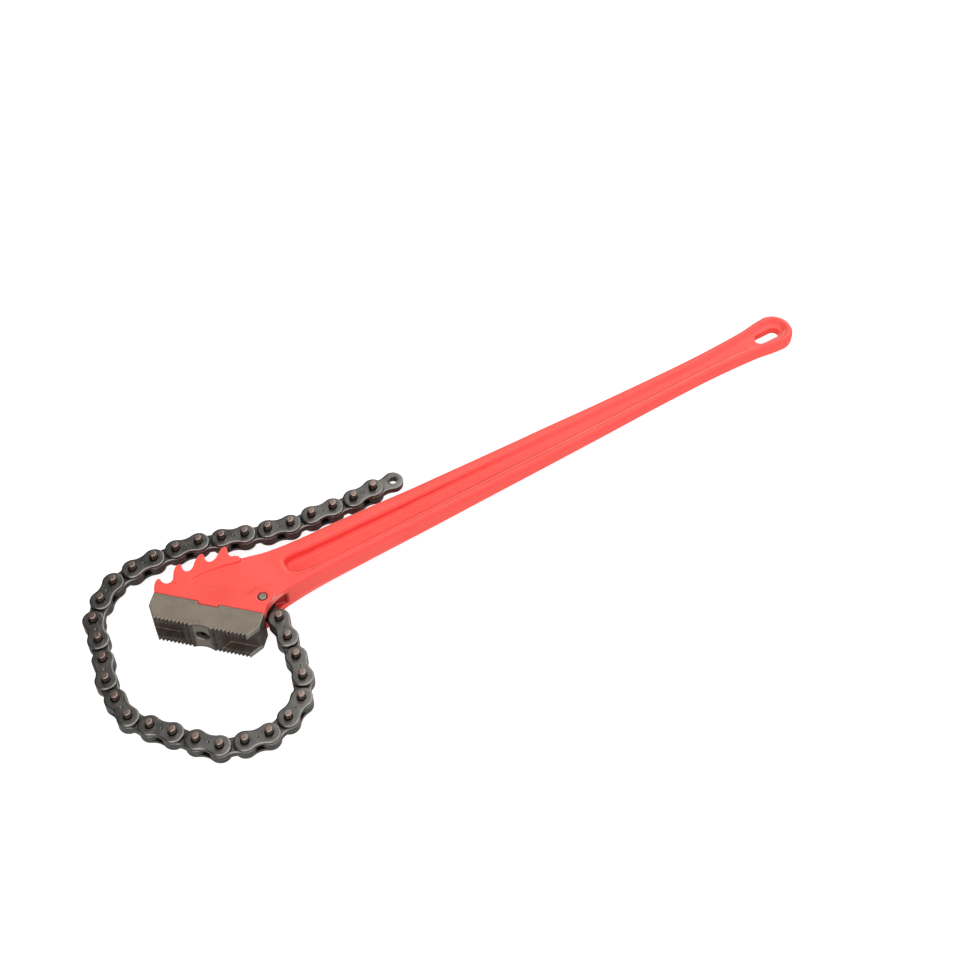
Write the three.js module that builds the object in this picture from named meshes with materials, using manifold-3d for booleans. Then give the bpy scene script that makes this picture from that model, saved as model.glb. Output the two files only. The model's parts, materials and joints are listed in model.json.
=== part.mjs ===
// Heavy-duty chain pipe wrench, 24 inch class: a forged handle whose forked head carries two rows of
// four hooks, a toothed jaw keyed and screwed to the head, and a long-pin chain hinged in a pocket.
// Millimetres, +Z up. The tool lies on its side. The origin is the centre of the lower end face of
// the chain's pivot pin, in the plane of the head's lower side face. +X runs along the grip, away
// from the jaw. The hooks point to +Y, called the far side below; -Y is the near side.
import * as THREE from "three";
import { mergeVertices } from "three/addons/utils/BufferGeometryUtils.js";
import Module from "manifold-3d";

const wasm = await Module();
wasm.setup();
const { degToRad, radToDeg } = THREE.MathUtils;

// ---------------------------------------------------------------- shared dimensions
const HEAD_THICKNESS = 33; // across the two side faces of the head
const MID = HEAD_THICKNESS / 2; // plane of symmetry of the tool
const PIN_RADIUS = 3.1; // pivot pin and chain pins
const GAP = 0.3; // between the jaw and the head, and under the screw's head

// seat of the jaw on the head
const SEAT_START = { x: -71.0, y: 49.1 }; // its end beside the hooks
const SEAT_ANGLE = degToRad(-44.65);
const JAW_WIDTH = 91; // along the seat
const KEY = { from: 37.3, to: 53.3, height: 2.4 }; // tongue of the head in the back of the jaw
const SCREW_ALONG = (KEY.from + KEY.to) / 2; // place of the screw along the seat

// ---------------------------------------------------------------- materials
const paint = new THREE.MeshStandardMaterial({ color: 0xf0503f, roughness: 0.45, metalness: 0 });
const steel = (color, { roughness, metalness }) =>
  new THREE.MeshStandardMaterial({ color, roughness, metalness });
const jawSteel = steel(0x7c7467, { roughness: 0.5, metalness: 0.8 });
const screwSteel = steel(0x3a3733, { roughness: 0.5, metalness: 0.8 });
const pinSteel = steel(0x857a6e, { roughness: 0.45, metalness: 0.85 });
const chainSteel = steel(0x4c4c49, { roughness: 0.42, metalness: 0.8 });

// ---------------------------------------------------------------- helpers
// Manifold solid of a closed three.js geometry
function solid(geometry) {
  // normals and uvs would keep the vertices of neighbouring faces apart
  geometry.deleteAttribute("normal");
  geometry.deleteAttribute("uv");
  const merged = mergeVertices(geometry, 1e-4);
  return new wasm.Manifold(
    new wasm.Mesh({
      numProp: 3,
      vertProperties: new Float32Array(merged.attributes.position.array),
      triVerts: new Uint32Array(merged.index.array),
    }),
  );
}

// flat-shaded three.js geometry of a solid
function geometryOf(part) {
  const mesh = part.getMesh();
  const indexed = new THREE.BufferGeometry();
  indexed.setAttribute("position", new THREE.BufferAttribute(mesh.vertProperties, 3));
  indexed.setIndex(new THREE.BufferAttribute(mesh.triVerts, 1));
  const flat = indexed.toNonIndexed();
  flat.computeVertexNormals();
  return flat;
}

function addPart(parent, name, part, material) {
  const mesh = new THREE.Mesh(geometryOf(part), material);
  mesh.name = name;
  parent.add(mesh);
}

const shapeOf = (points) => new THREE.Shape(points.map(([x, y]) => new THREE.Vector2(x, y)));

function prism(points, z0, z1) {
  const options = { depth: z1 - z0, bevelEnabled: false, steps: 1 };
  return solid(new THREE.ExtrudeGeometry(shapeOf(points), options).translate(0, 0, z0));
}

// round bar along Z
const rod = (radius, z0, z1, segments, x = 0) =>
  solid(
    new THREE.CylinderGeometry(radius, radius, z1 - z0, segments)
      .rotateX(Math.PI / 2)
      .translate(x, 0, (z0 + z1) / 2),
  );

// prism and round bar that reach equally far to both sides of the plane of symmetry
const midPrism = (points, half) => prism(points, MID - half, MID + half);
const midRod = (radius, half, segments, x) => rod(radius, MID - half, MID + half, segments, x);

// copy on the other side of the plane of symmetry
const mirrored = (part) => part.mirror([0, 0, 1]).translate([0, 0, HEAD_THICKNESS]);

// points on an arc, angles in degrees
function arc(centreX, centreY, radius, from, to, steps) {
  return Array.from({ length: steps + 1 }, (_, i) => {
    const angle = degToRad(from + ((to - from) * i) / steps);
    return [centreX + radius * Math.cos(angle), centreY + radius * Math.sin(angle)];
  });
}

// ---------------------------------------------------------------- frame of the seat
// X runs along the seat, Y away from the head, Z down from the head's upper face
const seatCos = Math.cos(SEAT_ANGLE);
const seatSin = Math.sin(SEAT_ANGLE);
const seatMatrix = new THREE.Matrix4()
  .makeBasis(
    new THREE.Vector3(seatCos, seatSin, 0),
    new THREE.Vector3(seatSin, -seatCos, 0),
    new THREE.Vector3(0, 0, -1),
  )
  .setPosition(SEAT_START.x, SEAT_START.y, HEAD_THICKNESS);

function pointFromSeat([along, out]) {
  const { x, y } = new THREE.Vector3(along, out, 0).applyMatrix4(seatMatrix);
  return [x, y];
}

const placeOnSeat = (part) => solid(geometryOf(part).applyMatrix4(seatMatrix));

// cylinder on the screw's axis in the frame of the seat, between two heights above the seat
const screwCylinder = (radius, low, high, segments) =>
  solid(
    new THREE.CylinderGeometry(radius, radius, high - low, segments)
      .translate(SCREW_ALONG, (low + high) / 2, MID),
  );

// ---------------------------------------------------------------- handle
const WEB_HALF = 3.8; // half thickness of the I-section's web
const RECESS_DRAFT = { inset: 1.8, height: 2.6 }; // slope around the floor of the recess
const END = { x: 527.3, y: 17.6, radius: 17.3 }; // round end of the grip
const HANG_SLOT = { from: 511.2, to: 526.0, y: END.y - 1.5, radius: 5.2 };
const CHAIN_SLOT_HALF = 7.2; // half width of the slot between the two rows of hooks
const POCKET_HALF = 6.8; // half width of the pocket that takes the first links
const POCKET_RADIUS = 10.6; // around the pivot pin
const PIVOT_BORE_RADIUS = 3.8;
const SCREW_HOLE = { radius: 3.6, bottom: -14, top: 3 }; // in the head, heights above the seat
const OUTSIDE = 40; // cuts that leave through a side face end this far from the middle

// X, half thickness of the grip and of the sunken part of the head
const HALF_THICKNESS = [
  [-80, 15.1], [-42, 14.9], [0, 13.9], [20, 12.6], [42, 12.0], [60, 11.3], [98, 10.6],
  [126, 10.2], [155, 9.7], [184, 9.2], [214, 8.6], [254, 8.0], [295, 7.5], [337, 7.2],
  [380, 7.0], [620, 7.0],
];

// All outlines below are X, Y.
// far edge of the grip, from its round end to the head
const FAR_EDGE = [
  [516, 33.9], [502, 31.9], [485, 30.8], [468, 30.1], [445, 29.6], [423, 29.6], [380, 30.3],
  [337, 31.2], [295, 32.5], [254, 33.4], [214, 34.3], [184, 35.0], [155, 35.7], [126, 36.9],
  [98, 38.0], [80, 38.6], [55, 38.6], [34.5, 38.8], [21, 40.0], [11, 42.0], [3.5, 43.8],
];
// the hooks, from the grip to the start of the seat
const HOOKS = [
  [0.8, 45.6], [-0.8, 46.9], [-2.6, 47.3], [-3.9, 48.6], [-4.0, 51.5], [-3.2, 55.0],
  [-2.6, 57.3], [-3.4, 58.9], [-5.2, 59.2], [-8.5, 57.8], [-12.0, 55.0], [-14.3, 53.3],
  [-16.8, 52.2], [-19.3, 51.9], [-21.3, 52.9], [-22.3, 55.0], [-22.1, 58.0], [-21.5, 60.6],
  [-22.2, 62.4], [-24.2, 62.9], [-26.8, 61.6], [-29.2, 59.9], [-31.9, 57.4], [-33.8, 55.2],
  [-36.0, 53.7], [-38.6, 53.2], [-40.6, 54.1], [-41.6, 56.2], [-41.6, 59.0], [-41.1, 61.2],
  [-42.0, 62.8], [-44.1, 63.1], [-46.8, 61.6], [-49.4, 58.6], [-51.4, 55.2], [-52.9, 52.6],
  [-54.8, 51.4], [-57.2, 51.0], [-59.5, 52.2], [-60.8, 54.2], [-61.3, 56.6], [-61.5, 58.5],
  [-63.0, 59.2], [-65.6, 57.9], [-67.6, 55.6], [-69.2, 53.0],
];
// near edge of the head and of the grip, from the seat to the round end
const NEAR_EDGE = [
  [-1.7, -9.8], [4.5, -6.2], [9.0, -4.3], [16, -2.4], [28, -1.2], [42, -0.6], [60, -0.5],
  [98, 0.0], [126, 0.2], [155, 0.4], [184, 0.8], [214, 1.2], [254, 1.7], [295, 2.4],
  [337, 3.3], [380, 4.6], [423, 5.4], [445, 5.6], [468, 5.2], [485, 4.5], [502, 3.3],
  [516, 1.3],
];
// sunken region of both side faces: a wedge in the head, and the whole grip
const SUNKEN = [
  [0.9, 40.4], [3.0, 70], [620, 70], [620, -40], [9.4, -40], [9.4, -4.0], [9.9, -1.0],
  [8.9, 3.9], [6.3, 7.1], [2.0, 9.0], [-2.1, 9.2], [-5.8, 7.9], [-8.0, 7.4], [-11, 9.6],
  [-19.3, 17.0], [-28, 25.3], [-36.6, 33.6], [-40.5, 37.6], [-42.0, 40.5], [-41.3, 43.4],
  [-38.9, 45.2], [-34.3, 45.6], [-26, 45.1], [-17.9, 44.0], [-10.3, 42.4], [-3.2, 40.8],
];
// rim of the recess of the I-section, on both faces
const RECESS = [
  [30.2, 13.0], [33.8, 9.4], [40.5, 7.6], [51.4, 6.4], [64, 6.2], [92, 6.4], [120, 6.7],
  [149, 7.4], [178, 7.8], [208, 8.3], [248, 8.8], [289, 9.0], [331, 9.6], [373, 10.0],
  [416, 10.3], [461, 10.6], [490, 10.0], [506, 8.6], [518, 7.3], [526, 6.9], [532, 8.4],
  [536.6, 12.2], [538, 17.6], [536.6, 23.0], [532, 26.8], [526, 28.3], [518, 27.9],
  [506, 26.6], [490, 24.9], [469, 23.4], [445, 22.0], [424, 21.6], [381, 21.9], [339, 22.3],
  [298, 22.9], [257, 23.6], [218, 24.1], [188, 24.6], [159, 24.8], [130, 25.1], [102, 25.7],
  [74, 26.2], [61.6, 26.6], [49, 27.0], [40, 27.6], [34.4, 27.2], [30.6, 24.0],
];
// slot between the two rows of hooks, open to the far side and past the jaw
const CHAIN_SLOT = [[-95, 45.4], [-4, 45.4], [2.4, 47.6], [5.0, 51], [6, 75], [-95, 75]];
// pocket for the first links, open to the near side
const POCKET = [
  [-10.5, -1.5], [-12.5, -40], [20.6, -40], [20.6, -3.4], [18.6, 0.3], [15.0, 1.8],
  ...arc(0, 0, POCKET_RADIUS, 16, 172, 8),
];

function handleBlank() {
  const seat = [
    [0, 0], [KEY.from, 0], [KEY.from, KEY.height],
    [KEY.to, KEY.height], [KEY.to, 0], [JAW_WIDTH, 0],
  ].map(pointFromSeat);
  const end = arc(END.x, END.y, END.radius, -90, 90, 12);
  return prism([...seat, ...NEAR_EDGE, ...end, ...FAR_EDGE, ...HOOKS], 0, HEAD_THICKNESS);
}

// what is taken off above the sunken region
function sunkenCut() {
  const sideView = [
    ...HALF_THICKNESS.map(([x, half]) => [x, MID + half]),
    [620, MID + OUTSIDE], [-80, MID + OUTSIDE],
  ];
  return prism(sideView, -90, 50)
    .rotate([90, 0, 0])
    .intersect(prism(SUNKEN, MID, MID + OUTSIDE));
}

// The bevel narrows the recess towards its floor. It narrows the top too, clear of the handle.
function recessCut() {
  const { inset, height } = RECESS_DRAFT;
  const floor = MID + WEB_HALF;
  const top = MID + 30;
  const options = {
    depth: top - floor - 2 * height,
    bevelEnabled: true,
    bevelThickness: height,
    bevelSize: inset,
    bevelOffset: -inset,
    bevelSegments: 1,
    steps: 1,
  };
  const geometry = new THREE.ExtrudeGeometry(shapeOf(RECESS), options);
  return solid(geometry.translate(0, 0, floor + height));
}

function hangSlotCut() {
  const { from, to, y, radius } = HANG_SLOT;
  const outline = [...arc(to, y, radius, -90, 90, 8), ...arc(from, y, radius, 90, 270, 8)];
  return prism(outline, -5, HEAD_THICKNESS + 5);
}

function makeHandle() {
  let body = handleBlank();
  for (const cut of [sunkenCut(), recessCut()]) {
    body = body.subtract(cut).subtract(mirrored(cut));
  }
  const { radius, bottom, top } = SCREW_HOLE;
  return body
    .subtract(hangSlotCut())
    .subtract(midPrism(CHAIN_SLOT, CHAIN_SLOT_HALF))
    .subtract(midPrism(POCKET, POCKET_HALF))
    .subtract(rod(PIVOT_BORE_RADIUS, -2, HEAD_THICKNESS + 2, 16))
    .subtract(placeOnSeat(screwCylinder(radius, bottom, top, 12)));
}

// ---------------------------------------------------------------- jaw
// heights are above the seat
const JAW_TIP = 23.5; // tooth tips
const JAW_END_HEIGHT = 12.5; // both ends of the jaw
const TOOTH_PITCH = 3.2;
const TOOTH_DEPTH = 2;
const TEETH = 9; // each side of the central scallop
const SCALLOP = { half: 9.2, depth: 2.3 };
const ROW_THICKNESS = 5.6; // each of the two rows of teeth, along Z
const CHANNEL_FLOOR = 14.5; // between the rows
// land that interrupts the channel: half widths at the floor and at a height above the tips
const LAND = { footHalf: 20.1, topHalf: 4.1, top: 40 };
const COUNTERBORE = { radius: 5.7, floor: 12.6 };
const CLEARANCE_RADIUS = 3.4; // hole for the shank of the screw

// row of teeth from the scallop outwards; direction is 1 or -1 along the seat
function toothRow(direction) {
  const start = JAW_WIDTH / 2 + direction * SCALLOP.half;
  return Array.from({ length: 2 * TEETH + 1 }, (_, i) => [
    start + (direction * i * TOOTH_PITCH) / 2,
    i % 2 ? JAW_TIP - TOOTH_DEPTH : JAW_TIP,
  ]);
}

// points of the scallop between its two rims
function scallopArc() {
  const { half, depth } = SCALLOP;
  const radius = (half * half + depth * depth) / (2 * depth);
  const spread = radToDeg(Math.asin(half / radius));
  const centreHeight = JAW_TIP - depth + radius;
  return arc(JAW_WIDTH / 2, centreHeight, radius, 270 + spread, 270 - spread, 8).slice(1, -1);
}

function channelCut(direction) {
  const at = (offset) => JAW_WIDTH / 2 + direction * offset;
  const beyondEnd = at(60);
  const outline = [
    [at(LAND.footHalf), CHANNEL_FLOOR], [beyondEnd, CHANNEL_FLOOR],
    [beyondEnd, LAND.top], [at(LAND.topHalf), LAND.top],
  ];
  return prism(outline, ROW_THICKNESS, HEAD_THICKNESS - ROW_THICKNESS);
}

function makeJaw() {
  const keyway = { from: KEY.from - GAP, to: KEY.to + GAP, height: KEY.height + GAP };
  const profile = [
    [0, GAP], [keyway.from, GAP], [keyway.from, keyway.height],
    [keyway.to, keyway.height], [keyway.to, GAP], [JAW_WIDTH, GAP],
    [JAW_WIDTH, JAW_END_HEIGHT],
    ...toothRow(1).reverse(),
    ...scallopArc(),
    ...toothRow(-1),
    [0, JAW_END_HEIGHT],
  ];
  const jaw = prism(profile, 0, HEAD_THICKNESS)
    .subtract(channelCut(-1))
    .subtract(channelCut(1))
    .subtract(screwCylinder(COUNTERBORE.radius, COUNTERBORE.floor, 30, 16))
    .subtract(screwCylinder(CLEARANCE_RADIUS, -2, 20, 12));
  return placeOnSeat(jaw);
}

// ---------------------------------------------------------------- socket head screw of the jaw
// heights are above the seat
const SCREW_HEAD = { radius: 5.2, bottom: COUNTERBORE.floor + GAP, top: 19.6 };
const SHANK = { radius: 3.0, bottom: -9.0, top: 13.5 }; // its top runs into the head
const SOCKET = { radius: 2.9, floor: 16.2, depth: 8 }; // hexagon, cut past the top of the head

function makeScrew() {
  const screw = screwCylinder(SCREW_HEAD.radius, SCREW_HEAD.bottom, SCREW_HEAD.top, 16)
    .add(screwCylinder(SHANK.radius, SHANK.bottom, SHANK.top, 12))
    .subtract(screwCylinder(SOCKET.radius, SOCKET.floor, SOCKET.floor + SOCKET.depth, 6));
  return placeOnSeat(screw);
}

// ---------------------------------------------------------------- chain
const PITCH = 19.05; // 3/4 inch
const PIN_HALF = 12.7; // the pins stand out on both sides of the plates, for the hooks
const PLATE_RADIUS = 8.9; // round ends of a plate
const WAIST_HALF = 6.8; // half height of a plate at its waist
// faces of the plates, measured from the plane of symmetry
const INNER_PLATE = { from: 0.3, to: 3.2 };
const OUTER_PLATE = { from: 3.5, to: 6.5 };
const BUSH = { radius: 4.7, boreRadius: 3.5, overlap: 0.5 }; // overlap into each inner plate
// heading of each link in the plane of the tool, degrees, from the pivot pin to the free end
const HEADINGS = [
  -78.4, -97.5, -97.6, -102.6, -121.4, -149.6, -166.9, -190.9, -200.5, -227.8, -230.6,
  -230.5, -235.6, -265.0, -272.5, -287.1, -283.4, -282.5, -311.4, -325.6, -349.6, -358.7,
  -363.6, -370.3, -379.4, -380.3, -376.9, -375.7, -364.1, -366.9, -363.5, -357.5, -361.0,
];

// Waisted plate between two pins along X. The round ends stop where a waist arc would touch them;
// each waist itself is two straight lines to its lowest point.
function plateOutline() {
  const half = PITCH / 2;
  const waistRadius =
    (half ** 2 + WAIST_HALF ** 2 - PLATE_RADIUS ** 2) / (2 * (PLATE_RADIUS - WAIST_HALF));
  const touch = radToDeg(Math.atan2(WAIST_HALF + waistRadius, half));
  return [
    ...arc(0, 0, PLATE_RADIUS, touch, 360 - touch, 7),
    [half, -WAIST_HALF],
    ...arc(PITCH, 0, PLATE_RADIUS, 180 + touch, 540 - touch, 7),
    [half, WAIST_HALF],
  ];
}

function platePair({ from, to }) {
  const upper = prism(plateOutline(), MID + from, MID + to);
  return upper.add(mirrored(upper));
}

function makeInnerLink() {
  const bushHalf = INNER_PLATE.from + BUSH.overlap;
  return platePair(INNER_PLATE)
    .add(midRod(BUSH.radius, bushHalf, 12, 0))
    .add(midRod(BUSH.radius, bushHalf, 12, PITCH))
    .subtract(midRod(BUSH.boreRadius, 8, 12, 0))
    .subtract(midRod(BUSH.boreRadius, 8, 12, PITCH));
}

function makeOuterLink() {
  return platePair(OUTER_PLATE)
    .add(midRod(PIN_RADIUS, PIN_HALF, 12, 0))
    .add(midRod(PIN_RADIUS, PIN_HALF, 12, PITCH));
}

function linkName(i) {
  if (i === 0) return "anchor_link";
  const number = String(Math.ceil(i / 2)).padStart(2, "0");
  return (i % 2 ? "outer_link_" : "inner_link_") + number;
}

// inner and outer links in turn, each in a group placed at its first pin
function makeChain() {
  const chain = new THREE.Group();
  chain.name = "chain";
  const innerLink = makeInnerLink();
  const outerLink = makeOuterLink();
  let x = 0;
  let y = 0;
  HEADINGS.map(degToRad).forEach((heading, i) => {
    const place = new THREE.Group();
    place.position.set(x, y, 0);
    place.rotation.z = heading;
    chain.add(place);
    addPart(place, linkName(i), i % 2 ? outerLink : innerLink, chainSteel);
    x += PITCH * Math.cos(heading);
    y += PITCH * Math.sin(heading);
  });
  return chain;
}

// ---------------------------------------------------------------- the tool
const tool = new THREE.Group();
tool.name = "chain_wrench";
addPart(tool, "handle", makeHandle(), paint);
addPart(tool, "jaw", makeJaw(), jawSteel);
addPart(tool, "jaw_screw", makeScrew(), screwSteel);
addPart(tool, "pivot_pin", rod(PIN_RADIUS, 0, HEAD_THICKNESS, 16), pinSteel);
tool.add(makeChain());

export default tool;
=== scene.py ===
"""A chain pipe wrench lying flat: red forged handle, toothed steel jaw, and a chain of links.

Modelled in millimetres and scaled to metres as meshes are made. The head is at the origin, around
the chain's pivot pin, the grip runs along +X and the thickness along Z. MID is the plane of symmetry.
"""
import json
import math

import bmesh
import bpy
import numpy as np
from mathutils import Matrix, Vector, geometry


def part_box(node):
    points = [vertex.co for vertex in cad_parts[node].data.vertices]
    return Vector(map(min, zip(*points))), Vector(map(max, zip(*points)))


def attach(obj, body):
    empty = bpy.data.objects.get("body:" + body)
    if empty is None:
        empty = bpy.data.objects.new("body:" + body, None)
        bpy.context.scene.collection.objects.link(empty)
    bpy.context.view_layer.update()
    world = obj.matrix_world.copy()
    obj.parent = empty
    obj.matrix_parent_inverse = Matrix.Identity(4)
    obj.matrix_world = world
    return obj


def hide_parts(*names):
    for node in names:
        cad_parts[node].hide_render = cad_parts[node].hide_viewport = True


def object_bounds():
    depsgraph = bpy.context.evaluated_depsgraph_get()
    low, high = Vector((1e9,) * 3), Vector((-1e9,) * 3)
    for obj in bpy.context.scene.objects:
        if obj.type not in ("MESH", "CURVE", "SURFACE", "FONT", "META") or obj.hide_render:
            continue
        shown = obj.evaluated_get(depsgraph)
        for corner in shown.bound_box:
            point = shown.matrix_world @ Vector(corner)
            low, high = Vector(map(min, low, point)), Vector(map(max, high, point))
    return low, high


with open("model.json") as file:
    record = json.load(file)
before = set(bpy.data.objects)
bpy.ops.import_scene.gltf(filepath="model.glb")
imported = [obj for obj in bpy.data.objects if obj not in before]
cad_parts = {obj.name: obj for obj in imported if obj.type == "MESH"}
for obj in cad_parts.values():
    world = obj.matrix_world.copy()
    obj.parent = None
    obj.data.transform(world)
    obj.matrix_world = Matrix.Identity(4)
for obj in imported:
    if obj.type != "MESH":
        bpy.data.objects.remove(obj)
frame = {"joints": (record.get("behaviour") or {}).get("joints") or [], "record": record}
CAD_LO, CAD_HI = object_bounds()
MM = 0.001

# ------------------------------------------------------------------ places, from the CAD pieces
head_lo, head_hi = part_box("handle")
HEAD_HALF = head_hi.z / MM / 2  # half the head's thickness
MID = (head_lo.z + head_hi.z) / 2 / MM  # height of the plane of symmetry
joints = {joint["child"]: joint for joint in frame["joints"]}
bodies = frame["record"]["behaviour"]["bodies"]
CHAIN = [body for body in bodies if body.startswith("link_")]
PINS = [np.array(joints[body]["pos_m"][:2]) / MM for body in CHAIN]
# the last link's far pin mirrors its near one through the link's centre
last_lo, last_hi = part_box(bodies[CHAIN[-1]][0])
PINS.append(np.array([last_lo.x + last_hi.x, last_lo.y + last_hi.y]) / MM - PINS[-1])

# ------------------------------------------------------------------ jaw dimensions, mm
# The jaw has its own frame: s along its seat on the handle, n out from the seat.
JAW_ORIGIN, JAW_ANGLE, JAW_WIDTH = (-71.0, 49.1), math.radians(-44.65), 91.0
KEY_START, KEY_END, KEY_HEIGHT = 37.3, 53.3, 2.4  # key standing on the seat
KEY_GAP, SEAT_GAP = 0.2, 0.05
JAW_TIP, JAW_SHOULDER = 23.5, 12.5  # n of the tooth tips, and of the ends where the teeth begin
TOOTH_PITCH, TOOTH_DEPTH, TEETH = 3.2, 2.0, 9  # in each of two rows
HOLLOW_HALF, HOLLOW_DEPTH = 9.2, 2.3  # round hollow between the rows
CHANNEL_FLOOR, CHANNEL_REACH, CHANNEL_SLOPE = 14.5, 20.1, 5.7 / 9.0
FLANK = 5.6  # thickness of the toothed wall on either side of the channel
SCREW_S, SCREW_HOLE_R = 45.3, 3.4
COUNTERBORE_R, COUNTERBORE_FLOOR = 5.75, 12.9

# ------------------------------------------------------------------ handle dimensions, mm
END_CENTRE, END_R = (527.3, 17.6), 17.3  # round end of the grip
SLOT_X, SLOT_HALF, SLOT_R, SLOT_DROP = 518.6, 7.4, 5.2, 1.5  # hanging slot, set below the centre
WEB_HALF = 3.8  # half thickness of the web at the bottom of the recess
RECESS_DRAFT = 0.42  # sideways slope of the recess wall
CHAIN_SLOT_HALF, POCKET_HALF = 7.2, 6.8
POCKET_R, PIVOT_BORE_R, BORE_CHAMFER = 10.6, 3.9, 0.55

# (x, half thickness) of the flanges
HALF_THICKNESS = [
    (-80, 15.1), (-42, 14.9), (0, 13.9), (20, 12.6), (42, 12.0), (60, 11.3), (98, 10.6),
    (126, 10.2), (155, 9.7), (184, 9.2), (214, 8.6), (254, 8.0), (295, 7.5), (337, 7.2),
    (380, 7.0), (620, 7.0),
]
# (x, y) along the +Y edge of the grip, from its end to the head
FAR_EDGE = [
    (516, 33.9), (502, 31.9), (485, 30.8), (468, 30.1), (445, 29.6), (423, 29.6), (380, 30.3),
    (337, 31.2), (295, 32.5), (254, 33.4), (214, 34.3), (184, 35.0), (155, 35.7), (126, 36.9),
    (98, 38.0), (80, 38.6), (55, 38.6), (34.5, 38.8), (21, 40.0), (11, 42.0), (3.5, 43.8),
]
# (x, y) over the hooks on the head's +Y side, towards -X
HOOKS = [
    (0.8, 45.6), (-0.8, 46.9), (-2.6, 47.3), (-3.9, 48.6), (-4.0, 51.5), (-3.2, 55.0),
    (-2.6, 57.3), (-3.4, 58.9), (-5.2, 59.2), (-8.5, 57.8), (-12.0, 55.0), (-14.3, 53.3),
    (-16.8, 52.2), (-19.3, 51.9), (-21.3, 52.9), (-22.3, 55.0), (-22.1, 58.0), (-21.5, 60.6),
    (-22.2, 62.4), (-24.2, 62.9), (-26.8, 61.6), (-29.2, 59.9), (-31.9, 57.4), (-33.8, 55.2),
    (-36.0, 53.7), (-38.6, 53.2), (-40.6, 54.1), (-41.6, 56.2), (-41.6, 59.0), (-41.1, 61.2),
    (-42.0, 62.8), (-44.1, 63.1), (-46.8, 61.6), (-49.4, 58.6), (-51.4, 55.2), (-52.9, 52.6),
    (-54.8, 51.4), (-57.2, 51.0), (-59.5, 52.2), (-60.8, 54.2), (-61.3, 56.6), (-61.5, 58.5),
    (-63.0, 59.2), (-65.6, 57.9), (-67.6, 55.6), (-69.2, 53.0),
]
# (x, y) along the -Y edge, from the jaw to the end of the grip
NEAR_EDGE = [
    (-1.7, -9.8), (4.5, -6.2), (9.0, -4.3), (16, -2.4), (28, -1.2), (42, -0.6), (60, -0.5),
    (98, 0.0), (126, 0.2), (155, 0.4), (184, 0.8), (214, 1.2), (254, 1.7), (295, 2.4),
    (337, 3.3), (380, 4.6), (423, 5.4), (445, 5.6), (468, 5.2), (485, 4.5), (502, 3.3), (516, 1.3),
]
# (x, y) of the step on the head, beyond which the faces drop to the flanges' thickness
STEP = [
    (9.4, -4.0), (9.9, -1.0), (8.9, 3.9), (6.3, 7.1), (2.0, 9.0), (-2.1, 9.2), (-5.8, 7.9),
    (-8.0, 7.4), (-11, 9.6), (-19.3, 17.0), (-28, 25.3), (-36.6, 33.6), (-40.5, 37.6),
    (-42.0, 40.5), (-41.3, 43.4), (-38.9, 45.2), (-34.3, 45.6), (-26, 45.1), (-17.9, 44.0),
    (-10.3, 42.4), (-3.2, 40.8), (0.9, 40.4), (2.4, 46.0),
]
BEYOND_STEP = [(3.0, 70), (620, 70), (620, -40), (9.4, -40)]  # closes the step around the grip
# (x, y) around the long recess in each side of the grip
RECESS = [
    (30.2, 13.0), (33.8, 9.4), (40.5, 7.6), (51.4, 6.4), (64, 6.2), (92, 6.4), (120, 6.7),
    (149, 7.4), (178, 7.8), (208, 8.3), (248, 8.8), (289, 9.0), (331, 9.6), (373, 10.0),
    (416, 10.3), (461, 10.6), (490, 10.0), (506, 8.6), (518, 7.3), (526, 6.9), (532, 8.4),
    (536.6, 12.2), (538, 17.6), (536.6, 23.0), (532, 26.8), (526, 28.3), (518, 27.9), (506, 26.6),
    (490, 24.9), (469, 23.4), (445, 22.0), (424, 21.6), (381, 21.9), (339, 22.3), (298, 22.9),
    (257, 23.6), (218, 24.1), (188, 24.6), (159, 24.8), (130, 25.1), (102, 25.7), (74, 26.2),
    (61.6, 26.6), (49, 27.0), (40, 27.6), (34.4, 27.2), (30.6, 24.0), (29.4, 18.5),
]
# (x, y) around the slot through the hooks, the pocket by the pivot (closed by an arc around
# the pivot) and the corner rounded off the lower fork
CHAIN_SLOT = [(-95, 45.4), (-4, 45.4), (2.4, 47.6), (5.0, 51), (6, 75), (-95, 75)]
POCKET = [(-10.5, -1.5), (-12.5, -40), (20.6, -40), (20.6, -3.4), (18.6, 0.3), (15.0, 1.8)]
FORK_CORNER = [
    (-14, -13.2), (-9.4, -12.2), (-6.0, -9.2), (0, -8.6), (4, -9), (4, -30), (-14, -30),
]
CORNER_TOP = -5.5  # the rounding lies below this height from the plane of symmetry

COS_JAW, SIN_JAW = math.cos(JAW_ANGLE), math.sin(JAW_ANGLE)
ALONG_SEAT, OUT_OF_SEAT = (COS_JAW, SIN_JAW, 0), (SIN_JAW, -COS_JAW, 0)


def from_jaw(s, n):
    """The x, y of a point in the jaw's frame."""
    return (JAW_ORIGIN[0] + s * COS_JAW + n * SIN_JAW, JAW_ORIGIN[1] + s * SIN_JAW - n * COS_JAW)


# ------------------------------------------------------------------ curves
def arc(radius, start, stop, count, centre=(0, 0)):
    """Points on an arc between two angles in degrees."""
    return [
        (centre[0] + radius * math.cos(a), centre[1] + radius * math.sin(a))
        for a in map(math.radians, np.linspace(start, stop, count))
    ]


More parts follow.
